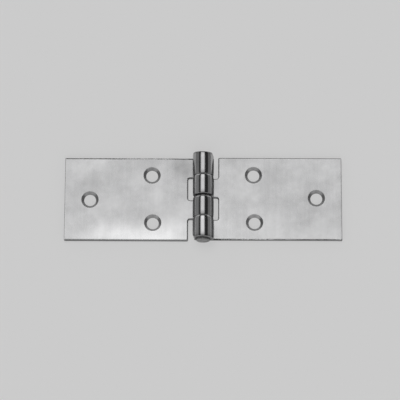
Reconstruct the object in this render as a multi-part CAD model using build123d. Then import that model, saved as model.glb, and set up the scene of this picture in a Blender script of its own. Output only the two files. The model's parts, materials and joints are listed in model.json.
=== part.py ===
from build123d import *
import math
import os

# Rolled strap hinge, open flat, lying on its backs.
# The pin axis runs along Y. The left leaf reaches to -X, the right leaf to +X, and the barrel stands
# proud on the +Z side. The origin is on the backs' plane, below the middle of the barrel.
# All lengths are in millimetres.

# Leaf plate
LEAF_WIDTH = 40.0            # along the pin
OPEN_LENGTH = 129.0          # across both leaves, open flat
SHEET = 1.6                  # sheet thickness
LEAF_CORNER_R = 0.5          # outline corners of the plate
NOTCH_EDGE = 7.0             # pin axis to the plate's edge, in the notches beside the knuckles
NOTCH_CORNER_R = 0.8         # where a knuckle's neck meets the plate

# Screw holes of one leaf: a pair near the barrel, punched a little askew, and a single one near
# the end. Each is (pin axis to hole, place along the pin), outer knuckle's side first.
HOLES = [(23.9, 11.6), (23.4, -11.4), (52.7, -0.3)]
HOLE_R = 2.75
SINK_R = 3.95                # countersink at the front face
SINK_HALF_ANGLE = 45.0

# Barrel
KNUCKLES = 4
KNUCKLE_PITCH = LEAF_WIDTH / KNUCKLES
KNUCKLE_GAP = 0.6            # pitch less knuckle length
END_PLAY = 0.5               # the right leaf sits this much further along +Y than the left
PIN_R = 3.25
PIN_CLEARANCE = 0.08         # radial, pin to knuckle
BORE_R = PIN_R + PIN_CLEARANCE
BARREL_R = BORE_R + SHEET
SEAM_GAP = 0.25              # from the rolled-in end to the leaf's front face

# Outer end of the outer knuckle, which reaches past the plate's edge, further on the left leaf
LEFT_OVERHANG = 1.2          # at the barrel's top
RIGHT_OVERHANG = 0.5
OVERHANG_SKEW = 0.4          # more on the seam side and less on the other, as rolled
NECK_BEVEL_HEIGHT = 2.0      # the overhang runs down to nothing at the back over this height
CRIMP_DEPTH = 1.1            # flat pressed on the side away from the leaf, to hold the pin
CRIMP_LENGTH = 1.7

# Pin, whose ends stand proud of both outer knuckles
PIN_LENGTH = 42.8
PIN_CHAMFER = 0.4

LEAF_END = OPEN_LENGTH / 2
HALF_WIDTH = LEAF_WIDTH / 2
SEAM_ANGLE = 180 - math.degrees(math.asin((SHEET + SEAM_GAP) / BARREL_R - 1))
REACH = 4 * BARREL_R         # larger than the barrel, for cutting blocks
CUT_PAST = 0.5               # how far a cutter runs past the face it starts from
NEAR = 0.01                  # tolerance for finding corners by their place


def knuckle_spans():
    """The left leaf's two knuckles along Y, outer one first: (low, high) at mid play."""
    half_gap = KNUCKLE_GAP / 2
    outer = (HALF_WIDTH - KNUCKLE_PITCH + half_gap, HALF_WIDTH)
    inner = (-KNUCKLE_PITCH + half_gap, -half_gap)
    return [outer, inner]


def plate():
    """Flat part of the left leaf: the plate, and each knuckle's neck up to below the pin axis."""
    (outer_low, outer_high), (inner_low, inner_high) = knuckle_spans()
    outline = Polyline(
        (-LEAF_END, -HALF_WIDTH),
        (-NOTCH_EDGE, -HALF_WIDTH),
        (-NOTCH_EDGE, inner_low),
        (0, inner_low),
        (0, inner_high),
        (-NOTCH_EDGE, inner_high),
        (-NOTCH_EDGE, outer_low),
        (0, outer_low),
        (0, outer_high),
        (-LEAF_END, HALF_WIDTH),
        close=True,
    )
    flat = make_face(outline)
    inside = HALF_WIDTH - NEAR
    at_notch = [v for v in flat.vertices() if abs(v.X + NOTCH_EDGE) < NEAR and abs(v.Y) < inside]
    flat = fillet(at_notch, NOTCH_CORNER_R)
    corners = [v for v in flat.vertices() if v.X < NEAR - NOTCH_EDGE and abs(v.Y) > inside]
    flat = fillet(corners, LEAF_CORNER_R)
    return extrude(flat, SHEET)


def ring_point(radius, angle):
    """A point of the barrel's section in the XZ plane, its angle counted from +X towards +Z."""
    turned = math.radians(angle)
    return (radius * math.cos(turned), 0, BARREL_R + radius * math.sin(turned))


def curl(low, high):
    """Rolled part of one knuckle: from below the pin, round the far side and over, to the seam."""
    bottom, half_way = -90, (SEAM_ANGLE - 90) / 2
    outside = ThreePointArc(
        ring_point(BARREL_R, bottom), ring_point(BARREL_R, half_way), ring_point(BARREL_R, SEAM_ANGLE)
    )
    inside = ThreePointArc(
        ring_point(BORE_R, SEAM_ANGLE), ring_point(BORE_R, half_way), ring_point(BORE_R, bottom)
    )
    rim = [
        outside,
        Line(outside @ 1, inside @ 0),
        inside,
        Line(inside @ 1, outside @ 0),
    ]
    section = make_face(rim)
    solid = extrude(section, high - low, dir=(0, 1, 0))
    return Pos(0, low, 0) * solid


def outer_curl(low, overhang):
    """The outer knuckle: its end overhangs the plate's edge, out of square, bevelled and crimped."""
    solid = curl(low, HALF_WIDTH + overhang + OVERHANG_SKEW + CUT_PAST)
    skew = math.degrees(math.atan2(OVERHANG_SKEW, BARREL_R))
    end = Pos(0, HALF_WIDTH + overhang, BARREL_R) * Rot(0, 0, -skew) * Pos(0, REACH / 2, 0)
    solid -= end * Box(REACH, REACH, REACH)
    slope = math.degrees(math.atan2(overhang, NECK_BEVEL_HEIGHT))
    below = Pos(0, HALF_WIDTH, 0) * Rot(-slope, 0, 0) * Pos(0, REACH / 2, -REACH / 2)
    solid -= below * Box(REACH, REACH, REACH)
    lean = math.degrees(math.atan2(CRIMP_DEPTH, CRIMP_LENGTH))
    crimp_edge = Pos(BARREL_R, HALF_WIDTH + overhang - CRIMP_LENGTH, BARREL_R)
    solid -= crimp_edge * Rot(0, 0, lean) * Pos(REACH / 2, 0, 0) * Box(REACH, REACH, REACH)
    return solid


def screw_hole(x, y):
    """Cutter of one countersunk screw hole, sunk from the front face."""
    depth = (SINK_R - HOLE_R) / math.tan(math.radians(SINK_HALF_ANGLE))
    drill = Cylinder(HOLE_R, 2 * (SHEET + CUT_PAST))
    sink_top = SINK_R + CUT_PAST * math.tan(math.radians(SINK_HALF_ANGLE))
    sink = Pos(0, 0, SHEET + (CUT_PAST - depth) / 2) * Cone(HOLE_R, sink_top, depth + CUT_PAST)
    return Pos(x, y, 0) * (drill + sink)


def leaf(overhang):
    """One leaf, as the left one, at mid play."""
    outer, inner = knuckle_spans()
    solid = plate() + outer_curl(outer[0], overhang) + curl(*inner)
    for from_axis, along in HOLES:
        solid -= screw_hole(-from_axis, along)
    return solid


def pin():
    """The pin, with chamfered ends."""
    rod = Rot(90, 0, 0) * Cylinder(PIN_R, PIN_LENGTH)
    rod = chamfer(rod.edges().filter_by(GeomType.CIRCLE), PIN_CHAMFER)
    return Pos(0, 0, BARREL_R) * rod


def write(node, solid):
    export_step(solid, os.path.join("parts", node + ".step"))
    print(node, "solids", len(solid.solids()), "volume", round(solid.volume, 1), "valid", solid.is_valid)


os.makedirs("parts", exist_ok=True)
write("left_leaf", Pos(0, -END_PLAY / 2, 0) * leaf(LEFT_OVERHANG))
write("right_leaf", Rot(0, 0, 180) * Pos(0, -END_PLAY / 2, 0) * leaf(RIGHT_OVERHANG))
write("pin", pin())
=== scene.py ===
import json
import math

import bmesh
import bpy
from mathutils import Matrix, Vector, noise


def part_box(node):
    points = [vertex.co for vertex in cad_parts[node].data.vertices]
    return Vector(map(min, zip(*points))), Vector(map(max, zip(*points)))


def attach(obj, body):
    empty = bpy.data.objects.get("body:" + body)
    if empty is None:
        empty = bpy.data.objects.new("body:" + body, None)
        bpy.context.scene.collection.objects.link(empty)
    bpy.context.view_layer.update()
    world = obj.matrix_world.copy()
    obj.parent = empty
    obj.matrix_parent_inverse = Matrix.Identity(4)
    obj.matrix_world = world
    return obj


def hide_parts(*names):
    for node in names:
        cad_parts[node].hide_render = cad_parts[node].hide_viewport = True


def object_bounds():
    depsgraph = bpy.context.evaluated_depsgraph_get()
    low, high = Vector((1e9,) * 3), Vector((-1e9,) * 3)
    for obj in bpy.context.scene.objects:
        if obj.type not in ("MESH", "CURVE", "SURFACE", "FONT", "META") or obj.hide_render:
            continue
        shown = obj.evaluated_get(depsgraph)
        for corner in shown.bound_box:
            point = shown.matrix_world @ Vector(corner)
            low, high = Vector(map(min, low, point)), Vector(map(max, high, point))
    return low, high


# A rolled strap hinge in bright zinc plate, open flat on a pale floor. Lengths are in metres.
# Each leaf is made as the real one is: a flat blank with its holes and softened edges, in
# coordinates u (along the sheet, 0 below the pin), v (along the pin) and w (height above the
# back), whose strips past u = 0 are then rolled round the pin.

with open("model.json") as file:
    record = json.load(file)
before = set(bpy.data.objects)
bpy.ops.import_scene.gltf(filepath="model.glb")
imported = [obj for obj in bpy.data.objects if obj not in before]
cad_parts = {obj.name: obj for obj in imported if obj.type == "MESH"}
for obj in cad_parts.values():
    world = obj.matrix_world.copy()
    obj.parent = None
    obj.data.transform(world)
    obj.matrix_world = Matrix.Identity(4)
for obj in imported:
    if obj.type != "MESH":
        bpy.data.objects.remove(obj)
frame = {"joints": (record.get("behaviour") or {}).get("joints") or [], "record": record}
cad_low, cad_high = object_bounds()
mounts = {mount["name"]: mount for mount in frame["record"]["mounts"]}

MM = 0.001
AXIS_Z = frame["joints"][0]["pos_m"][2]
BARREL_R = AXIS_Z            # the barrel reaches down to the backs' plane

# The blank
LEAF_END = cad_high.x
HALF_WIDTH = 20.0 * MM
SHEET = 1.6 * MM
NOTCH_EDGE = 7.0 * MM
NOTCH_CORNER_R = 0.8 * MM
PLATE_CORNER_R = 0.5 * MM
KNUCKLE_PITCH = HALF_WIDTH / 2
KNUCKLE_GAP = 0.6 * MM       # pitch less knuckle length
OUTER_SPAN = (HALF_WIDTH - KNUCKLE_PITCH + KNUCKLE_GAP / 2, HALF_WIDTH)
INNER_SPAN = (KNUCKLE_GAP / 2 - KNUCKLE_PITCH, -KNUCKLE_GAP / 2)
KNUCKLE_SPANS = (OUTER_SPAN, INNER_SPAN)       # where the leaf's two knuckles are along v
SIDE_EDGE_R = 0.55 * MM      # stamped front edges of the outline's long sides and notches
END_EDGE_R = 0.2 * MM        # sheared front edge of the outer end
BACK_EDGE_R = 0.25 * MM
HOLE_EDGE_R = 0.1 * MM

# Screw holes, in the leaf's own u and v
SHIFT_Y = mounts["left_back"]["pos_m"][1]      # half the end play, off the middle
SCREWS = [mounts["left_" + place + "_screw"] for place in ("outer", "inner", "end")]
HOLES = [(screw["pos_m"][0], screw["pos_m"][1] - SHIFT_Y) for screw in SCREWS]
HOLE_R = SCREWS[0]["dims"]["r_mm"] * MM
HOLE_LAND = SCREWS[0]["dims"]["length_mm"] * MM
SINK_R = HOLE_R + SHEET - HOLE_LAND

# The rolled strips
NEUTRAL_R = BARREL_R - SHEET / 2
SEAM_GAP = 0.25 * MM
SEAM_TURN = 1.5 * math.pi - math.asin((SHEET + SEAM_GAP) / BARREL_R - 1)
LEFT_OVERHANG = 1.2 * MM
RIGHT_OVERHANG = 0.5 * MM
OVERHANG_SKEW = 0.2 * MM
END_SWELL = 0.25 * MM        # the rolled sides are drawn out this much further than the top
NECK_BEVEL_HEIGHT = 2.0 * MM
FLARE_LENGTH = 5.0 * MM      # of the outer knuckle's end that is drawn out
CRIMP_DEPTH = 1.1 * MM
CRIMP_LENGTH = 1.7 * MM
END_ROUNDING = 2.4 * MM      # length of a knuckle's end over which it rounds off
END_DROP = 0.2 * MM
ROUNDING_TURN = 0.5          # radians of the roll over which that rounding sets in
OUTER_END_R = 0.45 * MM      # tighter rounding of the outer end, drawn in when it was crimped
OUTER_END_STOP = 0.95        # the share of that radius at which it stops, short of upright
SHADED_END_LENGTH = 1.6 * MM          # length of the outer knuckle's end that gets painted shade

# The plate isn't quite flat
WAVE_HEIGHT = 0.1 * MM
WAVE_LENGTH = 22.0 * MM

# The pin
PIN_LOW, PIN_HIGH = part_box("pin")
PIN_R = (PIN_HIGH.z - PIN_LOW.z) / 2
PIN_CHAMFER = 0.4 * MM
PIN_DOME = 0.12 * MM
PIN_END_ROW = 2.0 * MM       # a row of mesh this far from each end keeps the rod's shading even
PIN_SIDES = 64

# Fineness of the leaves' mesh
PLATE_STEP = 1.0 * MM        # along u, on the plate
ROLLED_STEP = 0.3 * MM       # along u, on the rolled strips
WIDTH_STEP = 0.9 * MM        # along v
END_ROWS = 4                 # in a knuckle's end rounding
OUTER_END_ROWS = 6           # in the outer end's tighter rounding
PATCH = 6.0 * MM             # half the side of the square of mesh round a hole
FRONT_RING = 1.22            # ring of mesh round a countersink's edge, as a share of its radius
BACK_RING = 1.3              # the same round a hole's edge at the back

SHARP_TURN = math.radians(30)
NEAR = 0.01 * MM             # tolerance for finding edges by their place in the outline
AT_FACE = SHEET / 100        # an edge this close to the front or the back is on it
SAME_PLACE = 0.001 * MM      # points closer than this are one

# How much a face of the blank counts as a cut edge, by the upright part of its normal
CUT_START = 0.99
CUT_SPREAD = 0.3             # fully cut from this much below the start
HOLE_CUT = 0.5               # the holes' walls are cut only this much, as the zinc runs into them

# Zinc. A pair is the two ends that a noise pattern spreads between.
PLATE_TONES = (0.47, 0.56)
CUT_TONES = (0.17, 0.25)
ROLLED_SHADE_TONE = 0.92           # painted shade on the rolled strips: their tone, as a share of the plate's
END_SHADE_TONE = 0.5           # painted shade at the outer knuckle's end: its tone, as a share of the rolled strip's
ZINC_TINT = (1.0, 1.0, 1.008)
PLATE_ROUGHNESS = (0.30, 0.22)
ROLLED_ROUGHNESS = (0.10, 0.16)
CUT_ROUGHNESS = 0.45
ZINC_BUMP = 0.002 * MM
LEFT_SEED, RIGHT_SEED = 1, 2

# Painted highlights (strength above 0) and painted shade (below 0) in spots on each plate, added to
# the zinc's tone: (centre, reach, strength), in metres
LEFT_PAINTED_LIGHT = (
    ((-0.026, -0.020), (0.040, 0.014), 0.36),
    ((-0.055, -0.019), (0.020, 0.016), 0.10),
    ((-0.009, 0.017), (0.010, 0.010), -0.14),
)
RIGHT_PAINTED_LIGHT = (
    ((0.012, -0.021), (0.030, 0.024), 0.13),
    ((0.038, -0.002), (0.060, 0.040), 0.03),
)

# The pin's steel
PIN_TONES = (0.24, 0.36)
PIN_ROUGHNESS = (0.5, 0.36)
PIN_BUMP = 0.02 * MM

# The photograph's point of view
CAMERA_DISTANCE = 1.2
CAMERA_LENS = 232.0
CAMERA_SENSOR = 36.0
CAMERA_FAR = 20.0
CAMERA_ELEVATION = 73.0
CAMERA_ROLL = 0.24
CAMERA_AIM = Vector((-1.5 * MM, -0.5 * MM, SHEET))

# The studio round the object, as (degrees from the zenith, brightness): across is measured round
# the pin's axis, along is measured from the plane square to it. A softbox is (power, across, along).
WALLS = (
    (-180, 0.30), (-54, 0.30), (-46, 0.05), (-36, 0.05),
    (22, 0.03), (48, 0.03), (58, 0.25), (180, 0.25),
)
SOFTBOXES = (
    # overhead and towards +Y
    (1.3, ((-33, 0.0), (-20, 1.0), (6, 1.0), (20, 0.0)),
     ((-13, 0.0), (0, 0.35), (10, 0.7), (17, 0.88), (25, 1.0), (34, 1.0), (44, 0.0))),
    # the whole end towards -Y
    (0.6, ((-180, 1.0), (180, 1.0)), ((-90, 1.0), (-34, 1.0), (-24, 0.0))),
    # the end towards +Y, to both sides
    (0.6, ((-180, 1.0), (-58, 1.0), (-46, 0.0), (46, 0.0), (58, 1.0), (180, 1.0)),
     ((28, 0.0), (38, 1.0), (90, 1.0))),
    # the end towards +Y, in the middle
    (0.6, ((-58, 0.0), (-46, 1.0), (46, 1.0), (58, 0.0)), ((54, 0.0), (66, 1.0), (90, 1.0))),
)
FLOOR_REACH = 4.0            # from the middle to each side
FLOOR_GREY = 0.35
FLOOR_GLOW = 0.46


def lines(keys, step):
    """Grid lines through all the keys, and evenly between them, at most step apart."""
    keys = sorted(set(round(key, 7) for key in keys))       # to a tenth of a micron
    made = [keys[0]]
    for low, high in zip(keys, keys[1:]):
        parts = max(1, math.ceil((high - low) / step - 1e-6))   # whole steps aren't split again
        made += [low + (high - low) * k / parts for k in range(1, parts + 1)]
    return made


def nearest(values, wanted):
    """The index of the value nearest to the one wanted."""
    return min(range(len(values)), key=lambda k: abs(values[k] - wanted))


def smooth_step(value):
    """0 up to 0, 1 from 1 on, and a smooth rise between."""
    value = min(max(value, 0.0), 1.0)
    return value * value * (3 - 2 * value)


def is_material(u, v):
    """Whether the blank has material there."""
    if u < -NOTCH_EDGE:
        return True
    return any(low < v < high for low, high in KNUCKLE_SPANS)


def in_patch(u, v):
    """Whether a place is in the square of mesh round a screw hole."""
    return any(abs(u - hole_u) < PATCH and abs(v - hole_v) < PATCH for hole_u, hole_v in HOLES)


def grid():
    """The blank's grid lines, along u to the strips' rolled-in ends, and along v."""
    us = [-LEAF_END, -NOTCH_EDGE, 0.0]
    vs = [-HALF_WIDTH]
    vs += lines([HALF_WIDTH - OUTER_END_R, HALF_WIDTH], OUTER_END_R / OUTER_END_ROWS)
    for low, high in KNUCKLE_SPANS:
        vs += lines([low, low + END_ROUNDING], END_ROUNDING / END_ROWS)
        vs += lines([high - END_ROUNDING, high], END_ROUNDING / END_ROWS)
    for hole_u, hole_v in HOLES:
        us += [hole_u - PATCH, hole_u + PATCH]
        vs += [hole_v - PATCH, hole_v + PATCH]
    rolled_us = lines([0.0, SEAM_TURN * NEUTRAL_R], ROLLED_STEP)[1:]
    return lines(us, PLATE_STEP) + rolled_us, lines(vs, WIDTH_STEP)


def patch_loop(us, vs, hole_u, hole_v):
    """The grid points (i, j) round the square of mesh at a hole, anticlockwise from its low corner."""
    low_i, high_i = nearest(us, hole_u - PATCH), nearest(us, hole_u + PATCH)
    low_j, high_j = nearest(vs, hole_v - PATCH), nearest(vs, hole_v + PATCH)
    loop = [(i, low_j) for i in range(low_i, high_i)]
    loop += [(high_i, j) for j in range(low_j, high_j)]
    loop += [(i, high_j) for i in range(high_i, low_i, -1)]
    loop += [(low_i, j) for j in range(high_j, low_j, -1)]
    return loop


def flat_blank(bm):
    """The blank with square edges: front, back and walls, and a ring of mesh round each hole."""
    us, vs = grid()
    points = {}

    def point(i, j, w):
        if (i, j, w) not in points:
            points[i, j, w] = bm.verts.new((us[i], vs[j], w))
        return points[i, j, w]

    cells = set()
    for i in range(len(us) - 1):
        for j in range(len(vs) - 1):
            if is_material((us[i] + us[i + 1]) / 2, (vs[j] + vs[j + 1]) / 2):
                cells.add((i, j))
    for i, j in cells:
        if not in_patch((us[i] + us[i + 1]) / 2, (vs[j] + vs[j + 1]) / 2):
            square = ((i, j), (i + 1, j), (i + 1, j + 1), (i, j + 1))
            bm.faces.new([point(a, b, SHEET) for a, b in square])
            bm.faces.new([point(a, b, 0.0) for a, b in reversed(square)])
        sides = (
            ((i, j - 1), (i, j), (i + 1, j)),
            ((i + 1, j), (i + 1, j), (i + 1, j + 1)),
            ((i, j + 1), (i + 1, j + 1), (i, j + 1)),
            ((i - 1, j), (i, j + 1), (i, j)),
        )
        for neighbour, a, b in sides:
            if neighbour not in cells:
                bm.faces.new([point(*a, 0.0), point(*b, 0.0), point(*b, SHEET), point(*a, SHEET)])
    for hole_u, hole_v in HOLES:
        loop = patch_loop(us, vs, hole_u, hole_v)
        front = [point(i, j, SHEET) for i, j in loop]
        back = [point(i, j, 0.0) for i, j in loop]
        countersink(bm, (hole_u, hole_v), front, back)


def countersink(bm, centre, front, back):
    """The mesh from a hole's squares, front and back, in to its edges, sink and bore."""
    count = len(front)
    low_corner = -0.75 * math.pi

    def ring(radius, w):
        turn = [low_corner + 2 * math.pi * k / count for k in range(count)]
        return [
            bm.verts.new((centre[0] + radius * math.cos(a), centre[1] + radius * math.sin(a), w))
            for a in turn
        ]

    front_rings = [front, ring(SINK_R * FRONT_RING, SHEET), ring(SINK_R, SHEET)]
    walls = [ring(HOLE_R, HOLE_LAND), ring(HOLE_R, 0.0)]
    back_rings = [ring(HOLE_R * BACK_RING, 0.0), back]
    path = front_rings + walls + back_rings
    for outer, inner in zip(path, path[1:]):
        for k in range(count):
            after = (k + 1) % count
            bm.faces.new([outer[k], outer[after], inner[after], inner[k]])


def sharp_edges(bm, wanted):
    """Edges that turn sharply and that wanted(middle, direction) accepts."""
    found = []
    for edge in bm.edges:
        if len(edge.link_faces) == 2 and edge.calc_face_angle() > SHARP_TURN:
            a, b = (vert.co for vert in edge.verts)
            if wanted((a + b) / 2, (b - a).normalized()):
                found.append(edge)
    return found


def soften(bm, edges, radius, segments):
    """Rounds the edges."""
    bmesh.ops.bevel(
        bm, geom=edges, offset=radius, offset_type="OFFSET", segments=segments,
        profile=0.5, affect="EDGES", clamp_overlap=False,
    )


def soften_blank(bm):
    """Rounds the outline's corners and breaks every stamped edge, front and back."""

    def upright(direction):
        return abs(direction.z) > 0.9

    def in_notch(p):
        return abs(p.x + NOTCH_EDGE) < NEAR and abs(p.y) < HALF_WIDTH - NEAR

    def at_end(p):
        return p.x < PLATE_CORNER_R / 2 - LEAF_END

    def near_hole(p):
        return in_patch(p.x, p.y)

    def front_rim(p, d):
        return not upright(d) and p.z > SHEET - AT_FACE and not near_hole(p)

    def back_rim(p, d):
        return not upright(d) and p.z < AT_FACE and not near_hole(p)

    soften(bm, sharp_edges(bm, lambda p, d: upright(d) and in_notch(p)), NOTCH_CORNER_R, 5)
    soften(bm, sharp_edges(bm, lambda p, d: upright(d)), PLATE_CORNER_R, 4)
    soften(bm, sharp_edges(bm, lambda p, d: front_rim(p, d) and at_end(p)), END_EDGE_R, 3)
    soften(bm, sharp_edges(bm, lambda p, d: front_rim(p, d) and not at_end(p)), SIDE_EDGE_R, 4)
    soften(bm, sharp_edges(bm, back_rim), BACK_EDGE_R, 3)
    soften(bm, sharp_edges(bm, lambda p, d: near_hole(p)), HOLE_EDGE_R, 2)


def end_drop(v):
    """How far a knuckle's outside has rounded off at that place along the pin."""
    low, high = min(KNUCKLE_SPANS, key=lambda ends: abs(v - sum(ends) / 2))
    near = min(v - low, high - v)
    drop = END_DROP * max(0.0, 1 - near / END_ROUNDING) ** 2
    past = min(OUTER_END_R - (HALF_WIDTH - v), OUTER_END_STOP * OUTER_END_R)
    if past > 0:
        drop += OUTER_END_R - math.sqrt(OUTER_END_R ** 2 - past ** 2)
    return drop


def rolled(u, v, w, seed, overhang):
    """Where a point of the blank goes when the leaf is rolled."""
    if u <= 0:
        wave = noise.noise(Vector((u / WAVE_LENGTH, v / WAVE_LENGTH, seed))) * 0.5 + 0.5
        return Vector((u, v, w + WAVE_HEIGHT * wave * smooth_step((-NOTCH_EDGE - u) / NOTCH_EDGE)))
    turn = u / NEUTRAL_R
    fade = smooth_step(turn / ROUNDING_TURN)
    radius = BARREL_R - w - end_drop(v) * (1 - w / SHEET) * fade
    if v > OUTER_SPAN[0]:
        height = BARREL_R * (1 - math.cos(turn))
        drawn = overhang - OVERHANG_SKEW * math.sin(turn)
        drawn += END_SWELL * (1 + min(math.cos(turn), 0.0))
        drawn = min(drawn, height * overhang / NECK_BEVEL_HEIGHT)
        v += drawn * smooth_step((v - HALF_WIDTH + FLARE_LENGTH) / FLARE_LENGTH)
    x, z = radius * math.sin(turn), BARREL_R - radius * math.cos(turn)
    pressed = (v - (HALF_WIDTH + overhang - CRIMP_LENGTH)) / CRIMP_LENGTH
    if pressed > 0:
        x = min(x, BARREL_R - CRIMP_DEPTH * pressed)
    return Vector((x, v, z))


def to_mesh(bm, name):
    """The finished mesh, with all its faces smooth."""
    for face in bm.faces:
        face.smooth = True
    mesh = bpy.data.meshes.new(name)
    bm.to_mesh(mesh)
    bm.free()
    return mesh


def leaf_mesh(name, seed, overhang):
    """One leaf, as the left one, in its own frame: v = 0 is the middle of the plate's width."""
    bm = bmesh.new()
    flat_blank(bm)
    bmesh.ops.recalc_face_normals(bm, faces=bm.faces)
    soften_blank(bm)
    bm.normal_update()
    cut = bm.faces.layers.float.new("cut")
    roll = bm.verts.layers.float.new("roll")
    dull = bm.verts.layers.float.new("dull")
    for face in bm.faces:
        middle = face.calc_center_median()
        most = HOLE_CUT if in_patch(middle.x, middle.y) else 1.0
        face[cut] = most * smooth_step((CUT_START - abs(face.normal.z)) / CUT_SPREAD)
    for vert in bm.verts:
        vert[roll] = smooth_step((vert.co.x + NOTCH_EDGE) / NOTCH_EDGE)
        # painted shade mask: rises over the last stretch of the outer knuckle's end
        vert[dull] = smooth_step((vert.co.y - HALF_WIDTH + SHADED_END_LENGTH) / SHADED_END_LENGTH) * vert[roll]
        vert.co = rolled(*vert.co, seed, overhang)
    bmesh.ops.remove_doubles(bm, verts=bm.verts, dist=SAME_PLACE)
    bmesh.ops.dissolve_degenerate(bm, edges=bm.edges, dist=SAME_PLACE)
    return to_mesh(bm, name)


def pin_mesh(name):
    """The pin, turned round its axis, with broken and slightly domed ends."""
    half = (PIN_HIGH.y - PIN_LOW.y) / 2
    outline = [
        (0.0, half),
        (PIN_R * 0.35, half - PIN_DOME * 0.1),
        (PIN_R * 0.7, half - PIN_DOME * 0.5),
        (PIN_R - PIN_CHAMFER, half - PIN_DOME),
        (PIN_R - PIN_CHAMFER * 0.3, half - PIN_CHAMFER * 0.75),
        (PIN_R, half - PIN_CHAMFER * 1.25),
        (PIN_R, half - PIN_END_ROW),
        (PIN_R, half * 0.5),
    ]
    outline += [(radius, -y) for radius, y in reversed(outline)]
    turns = [2 * math.pi * k / PIN_SIDES for k in range(PIN_SIDES)]
    bm = bmesh.new()
    rings = []
    for radius, y in outline:
        if radius == 0:
            rings.append([bm.verts.new((0, y, AXIS_Z))] * PIN_SIDES)
            continue
        rings.append(
            [bm.verts.new((radius * math.sin(a), y, AXIS_Z + radius * math.cos(a))) for a in turns]
        )
    for outer, inner in zip(rings, rings[1:]):
        for k in range(PIN_SIDES):
            after = (k + 1) % PIN_SIDES
            corners = [outer[k], outer[after], inner[after], inner[k]]
            bm.faces.new(list(dict.fromkeys(corners)))
    bmesh.ops.recalc_face_normals(bm, faces=bm.faces)
    return to_mesh(bm, name)


def add_piece(name, mesh, material, body, node):
    """Puts a mesh in the scene as the piece that stands for a CAD node and moves with a body."""
    piece = bpy.data.objects.new(name, mesh)
    bpy.context.scene.collection.objects.link(piece)
    piece.data.materials.append(material)
    weighted = piece.modifiers.new("even_normals", "WEIGHTED_NORMAL")
    weighted.mode = "FACE_AREA_WITH_ANGLE"
    weighted.weight = 80
    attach(piece, body)
    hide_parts(node)
    return piece


class Nodes:
    """Short calls for building one node tree."""

    def __init__(self, tree):
        self.tree = tree

    def add(self, kind, inputs=None, **settings):
        """A node, with its inputs linked or set."""
        made = self.tree.nodes.new("ShaderNode" + kind)
        for name, value in settings.items():
            setattr(made, name, value)
        for name, value in (inputs or {}).items():
            self.put(value, made.inputs[name])
        return made

    def put(self, value, socket):
        """Links an output to the socket, or sets the socket to a plain value."""
        if isinstance(value, bpy.types.NodeSocket):
            self.tree.links.new(value, socket)
        else:
            socket.default_value = value

    def math(self, operation, first, second=0.0):
        """The result of a sum on one or two numbers."""
        made = self.add("Math", {0: first, 1: second}, operation=operation)
        return made.outputs["Value"]

    def span(self, value, low, high, to_low=0.0, to_high=1.0, smooth=False):
        """The value carried from low..high to to_low..to_high, and held at the ends."""
        sockets = {"Value": value, "From Min": low, "From Max": high}
        sockets.update({"To Min": to_low, "To Max": to_high})
        kind = "SMOOTHSTEP" if smooth else "LINEAR"
        return self.add("MapRange", sockets, interpolation_type=kind).outputs["Result"]

    def vary(self, pattern, low, high):
        """A noise pattern, which mostly stays within 0.3 to 0.7, spread from low to high."""
        return self.span(pattern, 0.3, 0.7, low, high)

    def mix(self, share, first, second):
        """A number between first and second."""
        sockets = {"Value": share, "To Min": first, "To Max": second}
        return self.add("MapRange", sockets).outputs["Result"]

    def place(self, stretch=(1, 1, 1), shift=(0, 0, 0)):
        """Object coordinates in metres, times the stretch, then shifted."""
        where = self.add("TexCoord").outputs["Object"]
        sockets = {"Vector": where, "Scale": stretch, "Location": shift}
        return self.add("Mapping", sockets).outputs["Vector"]

    def noise(self, where, scale, detail, roughness):
        """A noise pattern, with that many waves a metre."""
        sockets = {"Vector": where, "Scale": scale, "Detail": detail, "Roughness": roughness}
        return self.add("TexNoise", sockets).outputs["Fac"]

    def patch(self, centre, reach):
        """A soft oval spot on the plate, 1 at its centre: centre and reach are (x, y) in metres."""
        stretch = (1 / reach[0], 1 / reach[1], 0)
        shift = (-centre[0] / reach[0], -centre[1] / reach[1], 0)
        away = self.add("VectorMath", {0: self.place(stretch, shift)}, operation="LENGTH")
        return self.span(away.outputs["Value"], 1.0, 0.0, smooth=True)

    def grey(self, level, tint=(1, 1, 1)):
        """A colour of that level, times the tint."""
        red, green, blue = (self.math("MULTIPLY", level, share) for share in tint)
        made = self.add("CombineColor", {"Red": red, "Green": green, "Blue": blue})
        return made.outputs["Color"]


def new_material(name):
    """An empty material, its shader and the calls for its nodes."""
    material = bpy.data.materials.new(name)
    material.use_nodes = True
    return material, material.node_tree.nodes["Principled BSDF"], Nodes(material.node_tree)


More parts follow.
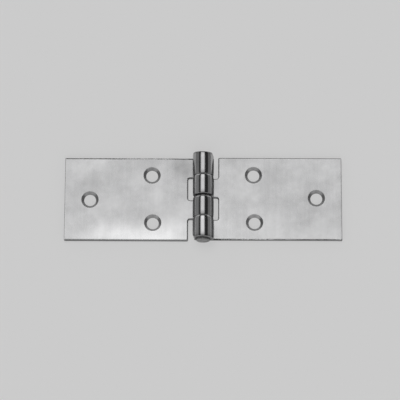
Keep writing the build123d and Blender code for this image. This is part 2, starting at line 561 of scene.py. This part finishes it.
def zinc(name, seed, painted_spots):
    """Bright zinc on rolled strip: cloudy, with faint rolling lines along the pin, darker and rougher
    where cut; with painted highlights and painted shade in spots on the plates, painted shade on the
    rolled strips, and more painted shade at the outer knuckle's end.
    """
    material, shader, n = new_material(name)
    cut, roll, dull = (
        n.add("Attribute", attribute_name=layer).outputs["Fac"] for layer in ("cut", "roll", "dull")
    )
    shift = (seed * 0.37, seed * 0.19, seed * 0.53)
    still = n.place(shift=shift)
    drawn = n.place(stretch=(1, 0.03, 1), shift=shift)
    clouds = n.noise(still, 70, 4, 0.6)
    specks = n.noise(still, 420, 3, 0.6)
    lines_wide = n.noise(drawn, 260, 2, 0.5)
    lines_fine = n.noise(drawn, 1500, 3, 0.6)

    level = n.vary(clouds, *PLATE_TONES)
    for pattern, depth in ((specks, 0.012), (lines_wide, 0.016), (lines_fine, 0.02)):
        level = n.math("ADD", level, n.vary(pattern, -depth, depth))
    # painted highlights and painted shade, as soft spots added to the plate's tone
    for centre, reach, strength in painted_spots:
        level = n.math("ADD", level, n.math("MULTIPLY", n.patch(centre, reach), strength))
    # painted shade: the rolled strips are darkened
    level = n.math("MULTIPLY", level, n.mix(roll, 1.0, ROLLED_SHADE_TONE))
    # painted shade at the outer knuckle's end
    level = n.math("MULTIPLY", level, n.mix(dull, 1.0, END_SHADE_TONE))
    level = n.mix(cut, level, n.vary(clouds, *CUT_TONES))
    n.put(n.grey(level, ZINC_TINT), shader.inputs["Base Color"])

    rough = n.math("ADD", n.vary(clouds, *PLATE_ROUGHNESS), n.vary(lines_fine, -0.03, 0.03))
    rough = n.mix(roll, rough, n.vary(lines_fine, *ROLLED_ROUGHNESS))
    rough = n.mix(cut, rough, CUT_ROUGHNESS)
    n.put(rough, shader.inputs["Roughness"])
    shader.inputs["Metallic"].default_value = 1.0

    height = n.math("ADD", n.math("MULTIPLY", lines_fine, 0.5), n.math("MULTIPLY", specks, 0.6))
    bump = n.add("Bump", {"Height": height, "Strength": 1.0, "Distance": ZINC_BUMP})
    n.put(bump.outputs["Normal"], shader.inputs["Normal"])
    return material


def steel():
    """The pin's bare steel, sheared and a little dark."""
    material, shader, n = new_material("pin_steel")
    clouds = n.noise(n.place(), 500, 4, 0.6)
    n.put(n.grey(n.vary(clouds, *PIN_TONES)), shader.inputs["Base Color"])
    n.put(n.vary(clouds, *PIN_ROUGHNESS), shader.inputs["Roughness"])
    shader.inputs["Metallic"].default_value = 1.0
    bump = n.add("Bump", {"Height": clouds, "Strength": 1.0, "Distance": PIN_BUMP})
    n.put(bump.outputs["Normal"], shader.inputs["Normal"])
    return material


def floor():
    """The floor, which glows so that it stays pale and even."""
    mesh = bpy.data.meshes.new("floor")
    corners = [(x * FLOOR_REACH, y * FLOOR_REACH, 0) for x, y in ((-1, -1), (1, -1), (1, 1), (-1, 1))]
    mesh.from_pydata(corners, [], [(0, 1, 2, 3)])
    made = bpy.data.objects.new("floor", mesh)
    bpy.context.scene.collection.objects.link(made)
    material, shader, _ = new_material("pale_floor")
    shader.inputs["Base Color"].default_value = (FLOOR_GREY, FLOOR_GREY, FLOOR_GREY, 1)
    shader.inputs["Roughness"].default_value = 0.9
    shader.inputs["Specular IOR Level"].default_value = 0.1
    shader.inputs["Emission Color"].default_value = (1, 1, 1, 1)
    shader.inputs["Emission Strength"].default_value = FLOOR_GLOW
    made.data.materials.append(material)


def sky_ramp(n, angle, stops):
    """A brightness that follows an angle: stops are (degrees, brightness), from -180 to 180."""
    turn = n.span(angle, -math.pi, math.pi)
    ramp = n.add("ValToRGB", {"Fac": turn})
    ramp.color_ramp.interpolation = "EASE"
    marks = ramp.color_ramp.elements
    while len(marks) < len(stops):
        marks.new(0.5)
    for mark, (degrees, level) in zip(marks, stops):
        mark.position = (degrees + 180) / 360
        mark.color = (level, level, level, 1)
    return ramp.outputs["Color"]


def studio():
    """The surroundings: grey walls, and the softboxes before them."""
    world = bpy.data.worlds.new("studio")
    world.use_nodes = True
    n = Nodes(world.node_tree)
    split = n.add("SeparateXYZ", {"Vector": n.add("TexCoord").outputs["Generated"]})
    across = n.math("ARCTAN2", split.outputs["X"], split.outputs["Z"])
    along = n.math("ARCSINE", split.outputs["Y"])
    total = sky_ramp(n, across, WALLS)
    for power, box_across, box_along in SOFTBOXES:
        box = n.math("MULTIPLY", sky_ramp(n, across, box_across), sky_ramp(n, along, box_along))
        total = n.math("ADD", total, n.math("MULTIPLY", box, power))
    n.put(total, world.node_tree.nodes["Background"].inputs["Color"])
    bpy.context.scene.world = world


def camera():
    """The camera, at the photograph's angle."""
    data = bpy.data.cameras.new("camera")
    data.lens = CAMERA_LENS
    data.sensor_width = CAMERA_SENSOR
    data.clip_end = CAMERA_FAR
    made = bpy.data.objects.new("camera", data)
    up = math.radians(CAMERA_ELEVATION)
    back = Vector((0, -math.cos(up), math.sin(up)))
    made.location = CAMERA_AIM + back * CAMERA_DISTANCE
    look = (-back).to_track_quat("-Z", "Y").to_matrix()
    roll = Matrix.Rotation(math.radians(CAMERA_ROLL), 3, back)
    made.rotation_euler = (roll @ look).to_euler()
    bpy.context.scene.collection.objects.link(made)
    bpy.context.scene.camera = made


camera()
floor()
studio()
bpy.context.scene.view_settings.view_transform = "Standard"

# Both leaves are made as the left one, and the right one is then turned half a turn
left = leaf_mesh("left_leaf_plate", LEFT_SEED, LEFT_OVERHANG)
left.transform(Matrix.Translation((0, SHIFT_Y, 0)))
right = leaf_mesh("right_leaf_plate", RIGHT_SEED, RIGHT_OVERHANG)
right.transform(Matrix.Rotation(math.pi, 4, "Z") @ Matrix.Translation((0, SHIFT_Y, 0)))
left_zinc = zinc("left_zinc", LEFT_SEED, LEFT_PAINTED_LIGHT)
right_zinc = zinc("right_zinc", RIGHT_SEED, RIGHT_PAINTED_LIGHT)
add_piece("left_leaf_plate", left, left_zinc, "left", "left_leaf")
add_piece("right_leaf_plate", right, right_zinc, "right", "right_leaf")
add_piece("hinge_pin", pin_mesh("hinge_pin"), steel(), "left", "pin")
